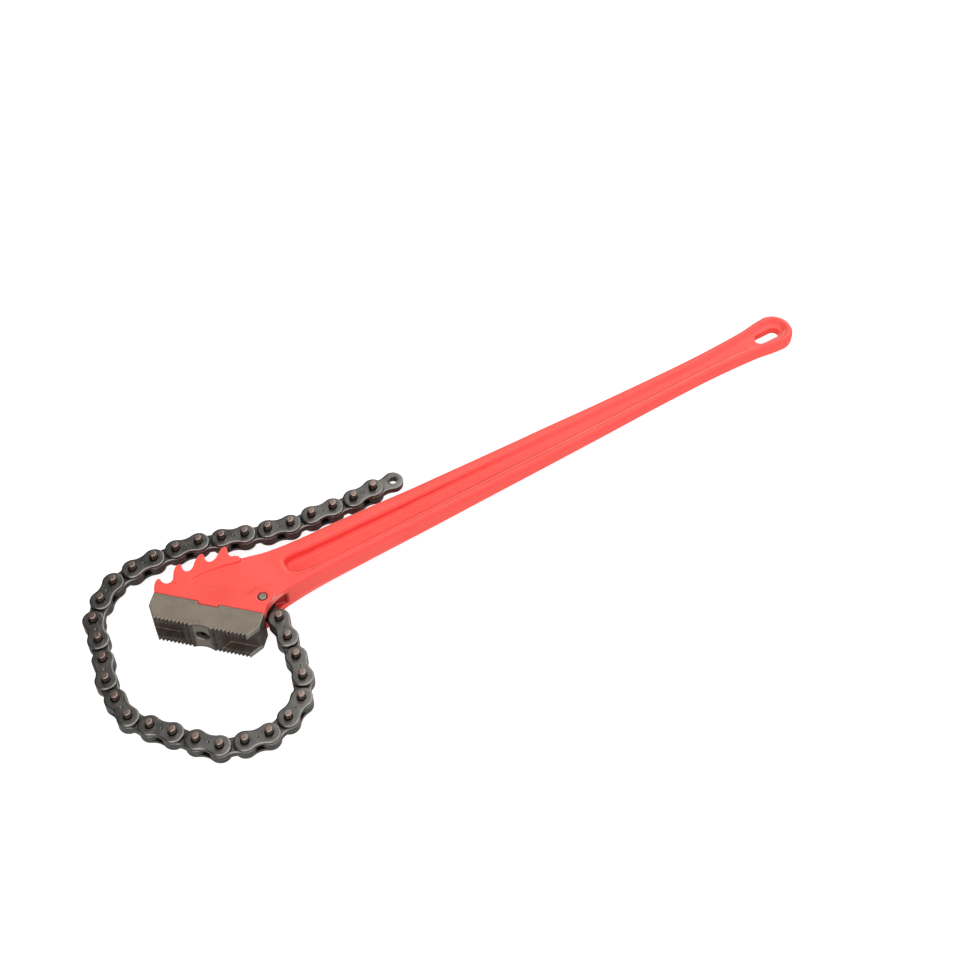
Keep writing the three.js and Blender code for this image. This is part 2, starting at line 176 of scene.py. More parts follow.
def curve_through(points, step, closed=False):
    """A centripetal Catmull-Rom curve through the points, resampled at about step."""

    def between(a, b, time_a, time_b, t):
        return (time_b - t) / (time_b - time_a) * a + (t - time_a) / (time_b - time_a) * b

    points = np.array(points, float)
    count = len(points)
    curve = []
    for i in range(count if closed else count - 1):
        p1, p2 = points[i], points[(i + 1) % count]
        p0 = points[(i - 1) % count] if closed or i > 0 else 2 * p1 - p2
        p3 = points[(i + 2) % count] if closed or i < count - 2 else 2 * p2 - p1
        t0 = 0.0
        t1 = t0 + max(np.linalg.norm(p1 - p0), 1e-6) ** 0.5
        t2 = t1 + max(np.linalg.norm(p2 - p1), 1e-6) ** 0.5
        t3 = t2 + max(np.linalg.norm(p3 - p2), 1e-6) ** 0.5
        pieces = min(max(1, int(np.ceil(np.linalg.norm(p2 - p1) / step))), 12)
        for k in range(pieces):
            t = t1 + (t2 - t1) * k / pieces
            a1 = between(p0, p1, t0, t1, t)
            a2 = between(p1, p2, t1, t2, t)
            a3 = between(p2, p3, t2, t3, t)
            b1 = between(a1, a2, t0, t2, t)
            b2 = between(a2, a3, t1, t3, t)
            curve.append(between(b1, b2, t1, t2, t))
    if not closed:
        curve.append(points[-1])
    return [tuple(point) for point in curve]


# ------------------------------------------------------------------ distance fields
# A field is a distance in mm sampled on a grid, negative inside the solid.
def polygon_field(x, y, polygon):
    """Signed distance to a closed polygon."""
    squared = np.full(x.shape, 1e18, np.float64)
    inside = np.zeros(x.shape, bool)
    starts = np.array(polygon, float)
    for (ax, ay), (bx, by) in zip(starts, np.roll(starts, -1, axis=0)):
        edge_x, edge_y = bx - ax, by - ay
        from_x, from_y = x - ax, y - ay
        length_squared = max(edge_x * edge_x + edge_y * edge_y, 1e-12)
        t = np.clip((from_x * edge_x + from_y * edge_y) / length_squared, 0, 1)
        dx, dy = from_x - edge_x * t, from_y - edge_y * t
        np.minimum(squared, dx * dx + dy * dy, out=squared)
        if ay != by:
            inside ^= ((ay > y) != (by > y)) & (x < edge_x * (y - ay) / edge_y + ax)
    return np.where(inside, -1.0, 1.0) * np.sqrt(squared)


def intersect(a, b, radius):
    """What two fields share, its edge rounded."""
    u, v = np.maximum(a + radius, 0), np.maximum(b + radius, 0)
    return np.minimum(-radius, np.maximum(a, b)) + np.sqrt(u * u + v * v)


def carve(body, cut, radius):
    """The body without the cut, its edge rounded."""
    return intersect(body, -cut, radius)


def surface_net(field, xs, ys, zs):
    """Vertices and quads of a field's zero surface: one vertex in each cell it crosses."""
    inside = field < 0
    corners = list(np.ndindex(2, 2, 2))

    def at_corner(values, corner):
        return values[tuple(slice(o, size - 1 + o) for o, size in zip(corner, values.shape))]

    count = sum(at_corner(inside, corner).astype(np.int8) for corner in corners)
    active = (count > 0) & (count < 8)
    cells = np.argwhere(active)
    index = np.full(active.shape, -1, np.int64)
    index[active] = np.arange(len(cells))
    value = {corner: at_corner(field, corner)[active] for corner in corners}

    # a cell's vertex is the mean of the crossings on its twelve edges
    total = np.zeros((len(cells), 3))
    hits = np.zeros(len(cells))
    for start in corners:
        for axis in range(3):
            if start[axis]:
                continue
            end = tuple(v + (1 if n == axis else 0) for n, v in enumerate(start))
            crossed = (value[start] < 0) != (value[end] < 0)
            t = np.zeros(len(cells))
            t[crossed] = value[start][crossed] / (value[start][crossed] - value[end][crossed])
            for n in range(3):
                total[crossed, n] += start[n] + (t[crossed] if n == axis else 0)
            hits += crossed
    local = total / hits[:, None]
    columns = []
    for n, grid in enumerate((xs, ys, zs)):
        low, high = grid[cells[:, n]], grid[cells[:, n] + 1]
        columns.append(low + local[:, n] * (high - low))

    # a quad joins the four cells around each grid edge that crosses the surface
    quads = []
    for axis in range(3):
        u, v = (axis + 1) % 3, (axis + 2) % 3
        at = np.argwhere(np.diff(inside, axis=axis))
        in_grid = (at[:, u] > 0) & (at[:, v] > 0)
        in_grid &= (at[:, u] < inside.shape[u] - 1) & (at[:, v] < inside.shape[v] - 1)
        at = at[in_grid]
        leaving = inside[tuple(at.T)]
        du, dv = np.eye(3, dtype=int)[[u, v]]
        around = [at - du - dv, at - dv, at, at - du]
        ids = np.stack([index[tuple(cell.T)] for cell in around], axis=1)
        ids[~leaving] = ids[~leaving][:, ::-1]
        quads.append(ids)
    return np.stack(columns, axis=1), np.concatenate(quads)


def mirror_field(half, zs):
    """The whole field and its z values, from the half above the plane of symmetry."""
    return np.concatenate([half[:, :, :0:-1], half], axis=2), np.concatenate([-zs[:0:-1], zs])


def axis_samples(*spans):
    """Grid positions from (start, end, spacing) spans laid end to start."""
    samples = []
    for start, end, spacing in spans:
        count = max(1, int(round((end - start) / spacing)))
        samples.extend(start + (end - start) * np.arange(count) / count)
    samples.append(spans[-1][1])
    return np.array(samples)


# ------------------------------------------------------------------ meshes and objects
def shade(mesh, angle=None):
    """Smooth shading, with edges sharper than angle (degrees) kept sharp."""
    mesh.polygons.foreach_set("use_smooth", np.ones(len(mesh.polygons), bool))
    if angle is not None:
        mesh.set_sharp_from_angle(angle=math.radians(angle))


def add_object(mesh, matrix=None, angle=None):
    mesh.validate()
    shade(mesh, angle)
    ob = bpy.data.objects.new(mesh.name, mesh)
    bpy.context.scene.collection.objects.link(ob)
    if matrix is not None:
        ob.matrix_world = matrix
    return ob


def object_from_net(name, verts, quads, matrix=None):
    """An object from arrays of vertices (mm) and quads."""
    mesh = bpy.data.meshes.new(name)
    mesh.vertices.add(len(verts))
    mesh.vertices.foreach_set("co", (verts * MM).astype(np.float32).ravel())
    mesh.loops.add(quads.size)
    mesh.loops.foreach_set("vertex_index", quads.astype(np.int32).ravel())
    mesh.polygons.add(len(quads))
    mesh.polygons.foreach_set("loop_start", np.arange(0, quads.size, 4, dtype=np.int32))
    mesh.update(calc_edges=True)
    return add_object(mesh, matrix)


def object_from_faces(name, part, matrix, angle=None):
    """An object from a (vertices in mm, faces) part, its faces turned outwards."""
    verts, faces = part
    mesh = bpy.data.meshes.new(name)
    mesh.from_pydata([tuple(p) for p in np.asarray(verts, np.float64) * MM], [], faces)
    ob = add_object(mesh, matrix, angle)
    bm = bmesh.new()
    bm.from_mesh(mesh)
    bmesh.ops.recalc_face_normals(bm, faces=bm.faces)
    bm.to_mesh(mesh)
    bm.free()
    return ob


def frame_matrix(x_axis, y_axis, z_axis, origin):
    """A matrix from three axes and an origin in mm."""
    return Matrix((*zip(x_axis, y_axis, z_axis, [v * MM for v in origin]), (0, 0, 0, 1)))


# ------------------------------------------------------------------ handle
def handle_outline():
    seat = [(0, 0), (KEY_START, 0), (KEY_START, KEY_HEIGHT), (KEY_END, KEY_HEIGHT), (KEY_END, 0),
            (JAW_WIDTH, 0)]
    end = arc(END_R, -90, 90, 40, END_CENTRE)
    return (
        [from_jaw(s, n) for s, n in seat]
        + curve_through(NEAR_EDGE + [end[0]], step=1.5)[:-1]
        + end
        + curve_through([end[-1]] + FAR_EDGE + [HOOKS[0]], step=1.5)[1:-1]
        + curve_through(HOOKS, step=0.7)
    )


def flange_half_thickness(xs):
    """Half thickness at each x, with the kinks between stations softened."""
    half = np.interp(xs, *zip(*HALF_THICKNESS))
    for _ in range(3):
        half = 0.5 * half + 0.25 * np.roll(half, 1) + 0.25 * np.roll(half, -1)
    # rolling wraps around, so both ends are made level again
    half[:3], half[-3:] = half[3], half[-4]
    return half


def handle_field(xs, ys, zs):
    """The handle's field for heights zs above the plane of symmetry."""
    gx, gy = np.meshgrid(xs, ys, indexing="ij")

    def prism(polygon):
        return polygon_field(gx, gy, polygon)[:, :, None]

    z = zs[None, None, :]
    half = flange_half_thickness(xs)[:, None, None]
    # the flanges' edges are nearly sharp on the head and soft along the grip
    grip = np.clip((xs - 6) / 60, 0, 1)
    grip = grip * grip * (3 - 2 * grip)
    edge_radius = (0.8 + 3.4 * grip)[:, None, None]

    body = intersect(prism(handle_outline()), z - HEAD_HALF, 0.8)
    sunken = prism(curve_through(STEP, step=0.8) + BEYOND_STEP)
    body = carve(body, intersect(sunken, half - z, 1.6), edge_radius)

    recess = prism(curve_through(RECESS, step=1.5, closed=True))
    depth = np.maximum(half - z, 0)
    wall = (recess + RECESS_DRAFT * depth) / math.sqrt(1 + RECESS_DRAFT * RECESS_DRAFT)
    body = carve(body, intersect(wall, WEB_HALF - z, 2.6), 2.2)

    slot_x = np.maximum(np.abs(gx - SLOT_X) - SLOT_HALF, 0)
    slot = np.hypot(slot_x, gy - END_CENTRE[1] + SLOT_DROP) - SLOT_R
    body = carve(body, slot[:, :, None], 1.3)

    body = carve(body, intersect(prism(CHAIN_SLOT), z - CHAIN_SLOT_HALF, 1.0), 0.7)
    pocket = prism(POCKET + arc(POCKET_R, 16, 172, 24))
    body = carve(body, intersect(pocket, z - POCKET_HALF, 1.8), 0.7)
    chamfer = np.maximum(0, z - (HEAD_HALF - BORE_CHAMFER))
    return np.maximum(body, PIVOT_BORE_R + chamfer - np.hypot(gx, gy)[:, :, None])


def build_handle():
    xs = axis_samples((-77, 24, 0.66), (24, 62, 0.9), (62, 492, 2.1), (492, 548, 0.8))
    ys = axis_samples((-18, 66, 0.66))
    zs = np.concatenate([np.arange(0, 17.3, 0.62), [17.8, 18.6]])
    whole, z = mirror_field(handle_field(xs, ys, zs), zs)
    # the lower fork's corner beside the jaw is rounded off
    corner = polygon_field(*np.meshgrid(xs, ys, indexing="ij"), FORK_CORNER)[:, :, None]
    whole = carve(whole, intersect(corner, z[None, None, :] - CORNER_TOP, 1.0), 1.2)
    verts, quads = surface_net(whole, xs, ys, z)
    verts[:, 2] += MID
    return object_from_net("handle_forging", verts, quads)


# ------------------------------------------------------------------ jaw
def tooth_row(start, direction):
    """Tips and roots of one row, from beside the hollow outwards."""
    row = []
    for i in range(TEETH):
        row.append((start + direction * i * TOOTH_PITCH, JAW_TIP))
        row.append((start + direction * (i + 0.5) * TOOTH_PITCH, JAW_TIP - TOOTH_DEPTH))
    return row + [(start + direction * TEETH * TOOTH_PITCH, JAW_TIP)]


def jaw_profile():
    middle = JAW_WIDTH / 2
    radius = (HOLLOW_HALF**2 + HOLLOW_DEPTH**2) / (2 * HOLLOW_DEPTH)
    half = math.asin(HOLLOW_HALF / radius)
    hollow = [
        (middle + radius * math.sin(a), JAW_TIP - HOLLOW_DEPTH + radius - radius * math.cos(a))
        for a in np.linspace(-half, half, 24)[1:-1]
    ]
    keyway_start, keyway_end = KEY_START - KEY_GAP, KEY_END + KEY_GAP
    keyway_floor = KEY_HEIGHT + KEY_GAP
    seat = [(0, SEAT_GAP), (keyway_start, SEAT_GAP), (keyway_start, keyway_floor),
            (keyway_end, keyway_floor), (keyway_end, SEAT_GAP), (JAW_WIDTH, SEAT_GAP)]
    return (
        seat + [(JAW_WIDTH, JAW_SHOULDER)]
        + tooth_row(middle + HOLLOW_HALF, 1)[::-1] + hollow[::-1]
        + tooth_row(middle - HOLLOW_HALF, -1) + [(0, JAW_SHOULDER)]
    )


def build_jaw():
    xs = axis_samples((-1.2, JAW_WIDTH + 1.2, 0.42))
    ys = axis_samples((-1.0, 12.0, 0.6), (12.0, 25.0, 0.34))
    zs = np.concatenate([np.arange(0, 17.4, 0.5), [18.0]])
    gx, gy = np.meshgrid(xs, ys, indexing="ij")
    z = zs[None, None, :]
    body = intersect(polygon_field(gx, gy, jaw_profile())[:, :, None], z - HEAD_HALF, 0.45)
    # channel between the toothed walls, sloping up to the land in the middle
    for side in (-1, 1):
        outward = side * (gx - JAW_WIDTH / 2)
        slope = CHANNEL_REACH - (gy - CHANNEL_FLOOR) * CHANNEL_SLOPE - outward
        slope /= math.hypot(1, CHANNEL_SLOPE)
        channel = intersect(slope, CHANNEL_FLOOR - gy, 1.6)[:, :, None]
        body = carve(body, intersect(channel, z - (HEAD_HALF - FLANK), 0.9), 0.35)
    # counterbored hole for the screw, flared at its mouth
    radius = np.hypot(gx[:, :, None] - SCREW_S, z)
    n = gy[:, :, None]
    flare = np.maximum(0, n - (JAW_TIP - HOLLOW_DEPTH) + 0.5)
    counterbore = np.maximum(radius - COUNTERBORE_R - flare, COUNTERBORE_FLOOR - n)
    body = np.maximum(carve(body, counterbore, 0.3), SCREW_HOLE_R - radius)
    whole, z = mirror_field(body, zs)
    matrix = frame_matrix(ALONG_SEAT, OUT_OF_SEAT, (0, 0, -1), (*JAW_ORIGIN, MID))
    return object_from_net("jaw_block", *surface_net(whole, xs, ys, z), matrix)


# ------------------------------------------------------------------ parts built from rings
# A part is (vertices in mm, faces); a loop is a list of vertex indices.
def ring(radius, z, count, x=0.0):
    turns = [2 * math.pi * i / count for i in range(count)]
    return [(x + radius * math.cos(a), radius * math.sin(a), z) for a in turns]


def add_loop(verts, points):
    start = len(verts)
    verts.extend(points)
    return list(range(start, len(verts)))


def band(a, b):
    """Quads between two loops of the same count."""
    count = len(a)
    return [(a[i], a[(i + 1) % count], b[(i + 1) % count], b[i]) for i in range(count)]


def add_turned(verts, faces, profile, count, x=0.0):
    """Turns an open (radius, z) profile about a Z axis at x; gives its loops."""
    loops = [add_loop(verts, ring(radius, z, count, x)) for radius, z in profile]
    for a, b in zip(loops, loops[1:]):
        faces += band(a, b)
    return loops


def lathe(profile, segments):
    """Closed solid of revolution about Z from (radius, z), its first and last on the axis."""
    verts, faces = [], []
    loops = [add_loop(verts, ring(r, z, segments) if r else [(0, 0, z)]) for r, z in profile]
    for a, b in zip(loops, loops[1:]):
        if len(a) == 1:
            faces += [(a[0], b[(i + 1) % segments], b[i]) for i in range(segments)]
        elif len(b) == 1:
            faces += [(a[i], a[(i + 1) % segments], b[0]) for i in range(segments)]
        else:
            faces += band(a, b)
    return verts, faces


def pin_part(end, stations, segments):
    """A pin with two alike ends, from one end's (radius, z), axis to shoulder."""
    radius, shoulder = end[-1]
    side = [(radius, z) for z in np.linspace(shoulder, -shoulder, stations)[1:-1]]
    profile = end + side + [(r, -z) for r, z in reversed(end)]
    return lathe(profile[::-1], segments)


def join(parts):
    verts, faces = [], []
    for part_verts, part_faces in parts:
        base = len(verts)
        verts += part_verts
        faces += [tuple(i + base for i in face) for face in part_faces]
    return verts, faces


def moved(part, x):
    return [(p[0] + x, p[1], p[2]) for p in part[0]], part[1]


def flipped(part):
    """The part mirrored in z."""
    return [(x, y, -z) for x, y, z in part[0]], [tuple(reversed(face)) for face in part[1]]


# ------------------------------------------------------------------ chain links
PLATE_R, WAIST = 8.9, 6.8  # half widths at the pins and midway
CHAIN_PIN_R, CHAIN_PIN_HALF, PIN_CHAMFER = 3.1, 12.7, 0.45
ROLLED_EDGE, SHARP_EDGE = 1.35, 0.35  # edge radii on the outward and inward faces
HOLE_BREAK = 0.15  # chamfer of the holes on the inward face
BUSH_R, BUSH_BORE_R, BUSH_HALF, BUSH_CHAMFER = 4.66, 3.5, 3.34, 0.3
DIMPLE = [(1.3, 0), (1.15, 0.35), (0.6, 0.7)]  # (radius, depth)


def plate_outline(pitch):
    """Waisted outline of a plate with pins at 0 and pitch; points and unit normals."""
    half = pitch / 2
    waist_r = (half * half + WAIST * WAIST - PLATE_R * PLATE_R) / (2 * (PLATE_R - WAIST))
    waist_y = WAIST + waist_r
    meet = math.atan2(waist_y, half)
    turn = math.pi - meet
    # centre x, y, radius, start and stop angle, points, and 1 for bulging or -1 for hollow
    arcs = [
        (0, 0, PLATE_R, meet, 2 * math.pi - meet, 22, 1),
        (half, -waist_y, waist_r, turn, meet, 8, -1),
        (pitch, 0, PLATE_R, -turn, turn, 22, 1),
        (half, waist_y, waist_r, -meet, -turn, 8, -1),
    ]
    points, normals = [], []
    for x, y, radius, start, stop, count, sign in arcs:
        for i in range(count):
            a = start + (stop - start) * i / count
            points.append((x + radius * math.cos(a), y + radius * math.sin(a)))
            normals.append((sign * math.cos(a), sign * math.sin(a)))
    return np.array(points), np.array(normals)


def cap(verts, outer, holes, up):
    """Triangles of a flat face between an outer loop and round holes."""
    flat, edges, source = [], [], []
    for loop in [outer] + holes:
        base, count = len(flat), len(loop)
        flat += [Vector(verts[i][:2]) for i in loop]
        source += loop
        edges += [(base + i, base + (i + 1) % count) for i in range(count)]
    points, _, triangles, origin, _, _ = geometry.delaunay_2d_cdt(flat, edges, [], 1, 1e-7)
    rims = []
    for loop in holes:
        rim = np.array([verts[i][:2] for i in loop])
        centre = rim.mean(axis=0)
        rims.append((centre, np.linalg.norm(rim - centre, axis=1).max()))
    faces = []
    for triangle in triangles:
        ids = [source[origin[i][0]] for i in triangle]
        p = [points[i] for i in triangle]
        middle = np.array([sum(v.x for v in p) / len(p), sum(v.y for v in p) / len(p)])
        if any(np.linalg.norm(middle - centre) < 0.995 * radius for centre, radius in rims):
            continue
        if ((p[1] - p[0]).cross(p[2] - p[0]) > 0) != up:
            ids.reverse()
        faces.append(tuple(ids))
    return faces


def plate(pitch, bottom, top, hole_r, countersink, dimple=False):
    """A punched plate: rolled edge on its upper side, a sharper lower side, bored at both pins."""
    points, normals = plate_outline(pitch)
    rings = [  # (inset, z) down the rim
        (ROLLED_EDGE * (1 - math.cos(a)), top - 0.75 * ROLLED_EDGE * (1 - math.sin(a)))
        for a in map(math.radians, np.linspace(90, 0, 5))
    ] + [
        (SHARP_EDGE * (1 - math.cos(a)), bottom + SHARP_EDGE * (1 + math.sin(a)))
        for a in map(math.radians, np.linspace(0, -90, 3))
    ]
    verts, faces = [], []
    rim = [add_loop(verts, [(x, y, z) for x, y in points - normals * inset]) for inset, z in rings]
    for a, b in zip(rim, rim[1:]):
        for i in range(len(a)):
            j = (i + 1) % len(a)
            faces.append((a[j], a[i], b[i], b[j]))
    hole = [(hole_r + countersink, top), (hole_r, top - countersink),
            (hole_r, bottom + HOLE_BREAK), (hole_r + HOLE_BREAK, bottom)]
    top_holes, bottom_holes = [], []
    for x in (0, pitch):
        loops = add_turned(verts, faces, hole, 28, x)
        top_holes.append(loops[0])
        bottom_holes.append(loops[-1])
    if dimple:
        profile = [(radius, top - depth) for radius, depth in DIMPLE]
        loops = add_turned(verts, faces, profile, 16, pitch / 2)
        faces.append(tuple(loops[-1]))
        top_holes.append(loops[0])
    faces += cap(verts, rim[0], top_holes, up=True)
    faces += cap(verts, rim[-1], bottom_holes, up=False)
    return verts, faces


def bush(x):
    """A tube with chamfered ends, centred on the plane of symmetry."""
    verts, faces = [], []
    shoulder = BUSH_HALF - BUSH_CHAMFER
    end = [(BUSH_BORE_R, shoulder), (BUSH_BORE_R + BUSH_CHAMFER, BUSH_HALF),
           (BUSH_R - BUSH_CHAMFER, BUSH_HALF), (BUSH_R, shoulder)]
    profile = [(r, -z) for r, z in end] + end[::-1]
    loops = add_turned(verts, faces, profile, 28, x)
    faces += band(loops[-1], loops[0])
    return verts, faces


def chain_pin():
    r, half, c = CHAIN_PIN_R, CHAIN_PIN_HALF, PIN_CHAMFER
    end = [(0, half - 0.02), (r * 0.5, half - 0.02), (r - c - 0.25, half - 0.03),
           (r - c, half - 0.05), (r - c * 0.55, half - 0.22), (r - 0.12, half - c - 0.05),
           (r, half - c - 0.35)]
    return pin_part(end, stations=9, segments=36)


def outer_link(pitch):
    upper = plate(pitch, bottom=3.42, top=6.5, hole_r=3.2, countersink=0.55, dimple=True)
    pin = chain_pin()
    return join([upper, flipped(upper), pin, moved(pin, pitch)])


def inner_link(pitch):
    upper = plate(pitch, bottom=0.25, top=3.28, hole_r=4.7, countersink=0.2)
    return join([upper, flipped(upper), bush(0), bush(pitch)])


# ------------------------------------------------------------------ screw and pivot pin
THREAD_PITCH, THREAD_TURNS, THREAD_ROOT_R, SHANK_R = 1.1, 9, 2.6, 3.0
SCREW_TIP, SCREW_TOP = -9.0, 19.5
SOCKET_APOTHEM, SOCKET_FLOOR = 2.45, 15.9


def hexagon(apothem, z, count):
    """A hexagon with its points at the same angles as a ring's, roughly."""
    points = []
    for i in range(count):
        a = 2 * math.pi * i / count
        radius = apothem / math.cos((a % (math.pi / 3)) - math.pi / 6)
        points.append((radius * math.cos(a), radius * math.sin(a), z))
    return points


def screw_part():
    """Socket head cap screw along +Z: z is the height above the jaw's seat."""
    segments = 48
    profile = [(2.0, SCREW_TIP), (THREAD_ROOT_R, -8.4)]
    for i in range(THREAD_TURNS):
        z = -8.0 + i * THREAD_PITCH
        profile += [(THREAD_ROOT_R, z), (SHANK_R, z + 0.45), (SHANK_R, z + 0.6)]
    profile += [
        (SHANK_R, 2.2), (SHANK_R, COUNTERBORE_FLOOR), (4.9, COUNTERBORE_FLOOR), (5.15, 13.2),
        (5.15, 18.7), (5.0, 19.2), (4.6, SCREW_TOP), (3.3, SCREW_TOP),
    ]
    socket = [(SOCKET_APOTHEM + 0.25, SCREW_TOP), (SOCKET_APOTHEM, 19.2),
              (SOCKET_APOTHEM, SOCKET_FLOOR)]
    verts, faces = [], []
    loops = add_turned(verts, faces, profile, segments)
    for apothem, z in socket:
        loops.append(add_loop(verts, hexagon(apothem, z, segments)))
        faces += band(loops[-2], loops[-1])
    tip, = add_loop(verts, [(0, 0, SCREW_TIP)])
    deep, = add_loop(verts, [(0, 0, 15.2)])
    first, last = loops[0], loops[-1]
    for i in range(segments):
        j = (i + 1) % segments
        faces += [(tip, first[j], first[i]), (last[i], last[j], deep)]
    return verts, faces


def pivot_part():
    r, half = 3.12, HEAD_HALF - 0.02
    end = [(0, half - 0.1), (1.2, half - 0.06), (r - 0.7, half), (r - 0.4, half - 0.02),
           (r - 0.15, half - 0.12), (r, half - 0.4)]
    return pin_part(end, stations=8, segments=40)


# ------------------------------------------------------------------ node helpers
def srgb(*levels):
    """A linear colour from 0-255 sRGB levels."""
    parts = [level / 255 for level in levels]
    return (*(c / 12.92 if c <= 0.04045 else ((c + 0.055) / 1.055) ** 2.4 for c in parts), 1.0)


class Nodes:
    """Adds and wires nodes in one tree. Any value may be a socket or a constant."""

    def __init__(self, tree):
        self.tree = tree

    def new(self, kind, **settings):
        node = self.tree.nodes.new(kind)
        for key, value in settings.items():
            setattr(node, key, value)
        return node

    def feed(self, socket, value):
        if isinstance(value, bpy.types.NodeSocket):
            self.tree.links.new(value, socket)
        else:
            socket.default_value = value

    def math(self, operation, *values):
        node = self.new("ShaderNodeMath", operation=operation)
        for socket, value in zip(node.inputs, values):
            self.feed(socket, value)
        return node.outputs[0]

    def times(self, a, b):
        return self.math("MULTIPLY", a, b)

    def plus(self, a, b):
        return self.math("ADD", a, b)

    def minus(self, a, b):
        return self.math("SUBTRACT", a, b)

    def absolute(self, a):
        return self.math("ABSOLUTE", a)

    def split(self, vector):
        """The x, y and z of a vector."""
        node = self.new("ShaderNodeSeparateXYZ")
        self.feed(node.inputs[0], vector)
        return tuple(node.outputs)

    def mix(self, share, low, high, data_type="RGBA"):
        first, out = (6, 2) if data_type == "RGBA" else (2, 0)
        node = self.new("ShaderNodeMix", data_type=data_type)
        for i, value in ((0, share), (first, low), (first + 1, high)):
            self.feed(node.inputs[i], value)
        return node.outputs[out]

    def tint(self, colour, toward, where, amount=None):
        """The colour turned toward another where a mask is 1, by up to amount."""
        share = where if amount is None else self.times(where, amount)
        return self.mix(share, colour, toward)

    def ramp(self, value, over, to=(0.0, 1.0), smooth=False):
        """Maps the range over onto the range to, clamped."""
        node = self.new("ShaderNodeMapRange")
        if smooth:
            node.interpolation_type = "SMOOTHSTEP"
        names = ("From Min", "From Max", "To Min", "To Max")
        for name, limit in zip(names, (*over, *to)):
            node.inputs[name].default_value = limit
        self.feed(node.inputs["Value"], value)
        return node.outputs["Result"]

    def fade(self, value, off, on):
        """A smooth mask: 0 at off, 1 at on."""
        return self.ramp(value, over=(off, on), smooth=True)

    def between(self, value, rise, fall):
        """A mask that fades in over rise and out over fall."""
        return self.times(self.fade(value, *rise), self.fade(value, *fall))


class MaterialNodes(Nodes):
    """The nodes of a new material, in object coordinates (metres)."""

    def __init__(self, name):
        self.material = bpy.data.materials.new(name)
        self.material.use_nodes = True
        super().__init__(self.material.node_tree)
        self.coord = self.new("ShaderNodeTexCoord").outputs["Object"]

    def normal(self):
        return self.new("ShaderNodeTexCoord").outputs["Normal"]

    def pointiness(self):
        return self.new("ShaderNodeNewGeometry").outputs["Pointiness"]

    def scaled(self, *scale):
        node = self.new("ShaderNodeMapping")
        node.inputs["Scale"].default_value = scale
        self.feed(node.inputs["Vector"], self.coord)
        return node.outputs["Vector"]

    def noise(self, scale, detail, roughness, vector=None):
        node = self.new("ShaderNodeTexNoise")
        node.inputs["Scale"].default_value = scale
        node.inputs["Detail"].default_value = detail
        node.inputs["Roughness"].default_value = roughness
        self.feed(node.inputs["Vector"], vector or self.coord)
        return node.outputs["Fac"]

    def openness(self, samples, distance):
        """Ambient occlusion: 1 in the open, 0 deep in gaps."""
        node = self.new("ShaderNodeAmbientOcclusion", samples=samples)
        node.inputs["Distance"].default_value = distance
        return node.outputs["AO"]

    def bump(self, height, strength, distance, normal=None):
        node = self.new("ShaderNodeBump")
        node.inputs["Strength"].default_value = strength
        node.inputs["Distance"].default_value = distance
        self.feed(node.inputs["Height"], height)
        if normal is not None:
            self.feed(node.inputs["Normal"], normal)
        return node.outputs["Normal"]

    def finish(self, **inputs):
        """Feeds the surface shader's inputs, with _ for a space; gives the material."""
        shader = self.tree.nodes["Principled BSDF"]
        for name, value in inputs.items():
            self.feed(shader.inputs[name.replace("_", " ")], value)
        return self.material


MIDDLE = (0.3, 0.7)  # the part of a noise's range that its values mostly fill


